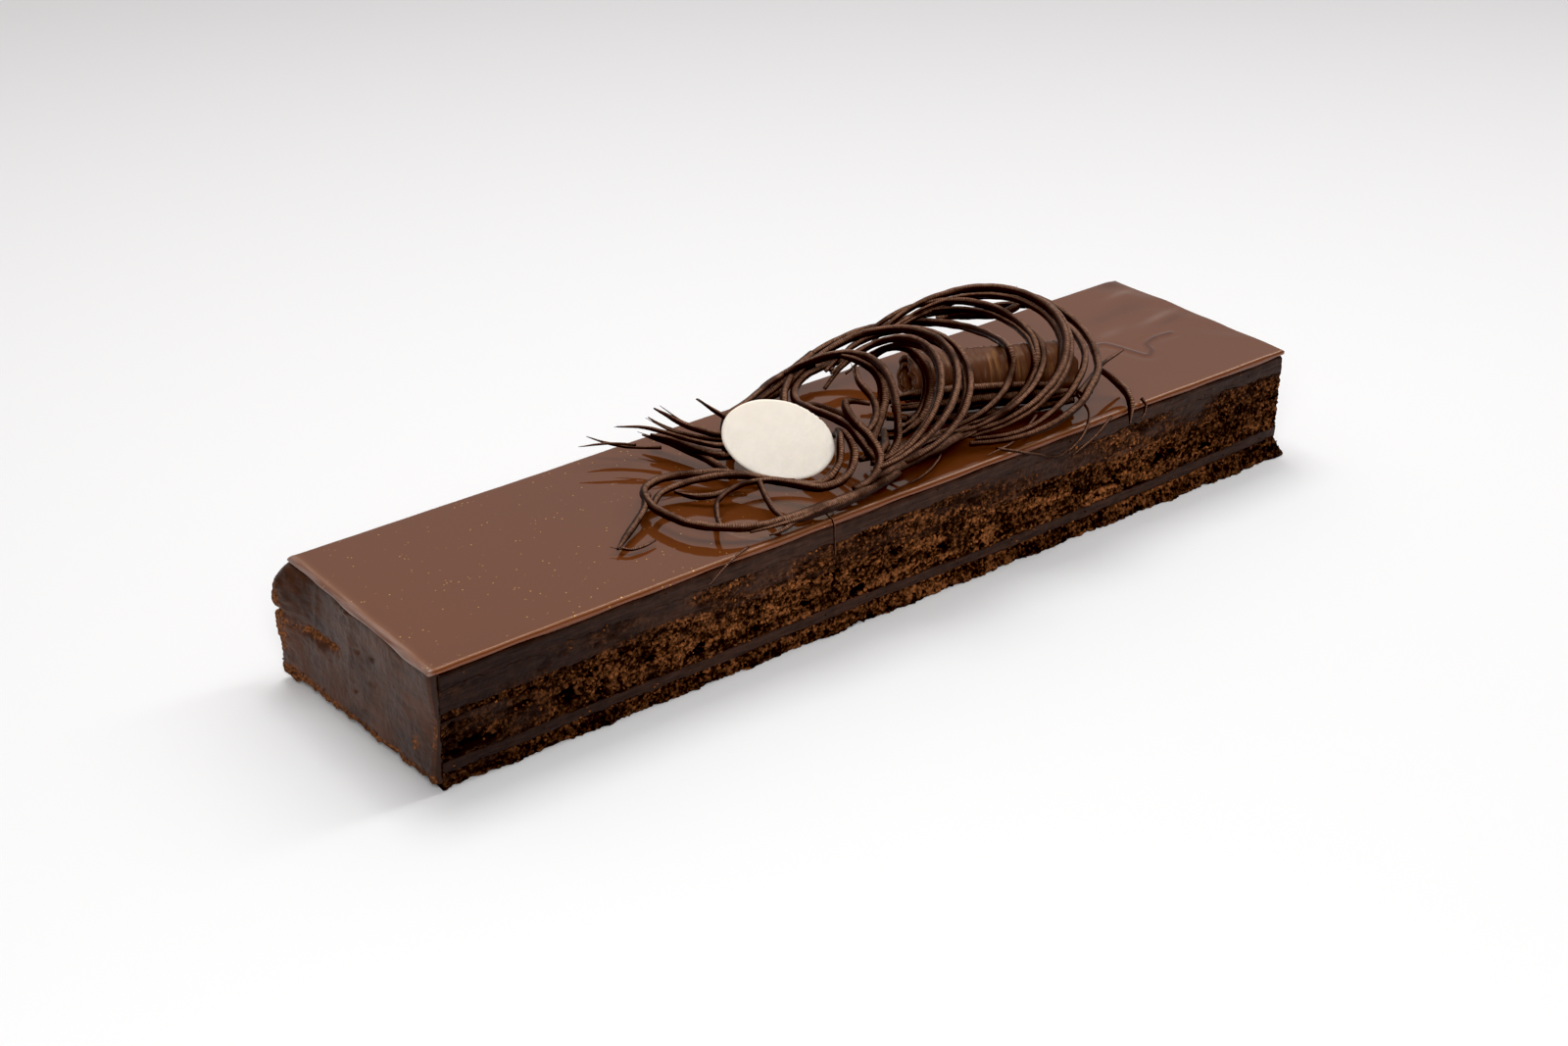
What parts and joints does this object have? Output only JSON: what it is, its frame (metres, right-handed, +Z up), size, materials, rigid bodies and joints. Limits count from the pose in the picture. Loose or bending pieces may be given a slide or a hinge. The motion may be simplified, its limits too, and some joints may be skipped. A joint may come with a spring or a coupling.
{
  "type": "brownie cake",
  "caption": "Long layered brownie cake with ganache between the sponges, a glossy chocolate glaze, and a nest of chocolate curls with a rolled cigarette and an oval plaque.",
  "frame": {"origin": "middle of the underside of the whole part's bounding box, on the surface that the cake stands on", "axes": "+X along the cake's length towards the end with the bare cut face, +Y to the back long face, +Z up"},
  "size_m": [0.3916, 0.0998, 0.0854],
  "materials": {
    "sponge": "dark brownie crumb, torn and porous, matt",
    "ganache": "smooth dark ganache, satin",
    "glaze": "poured chocolate glaze, mirror gloss",
    "smeared_ganache": "ganache spread with a knife, satin with small pits",
    "roll_chocolate": "shaved dark chocolate with fine ridges and a little bronze lustre",
    "white_chocolate": "smooth cream-white chocolate, soft gloss",
    "curl_chocolate": "dark chocolate strands, glossy along their ridges"
  },
  "bodies": {
    "root": {"sponge_base": "sponge", "ganache_lower": "ganache", "sponge_middle": "sponge", "ganache_middle": "ganache", "sponge_top": "sponge", "ganache_top": "ganache", "glaze": "glaze", "end_coat": "smeared_ganache", "chocolate_roll": "roll_chocolate", "plaque": "white_chocolate", "curls": "curl_chocolate"}
  },
  "joints": []
}
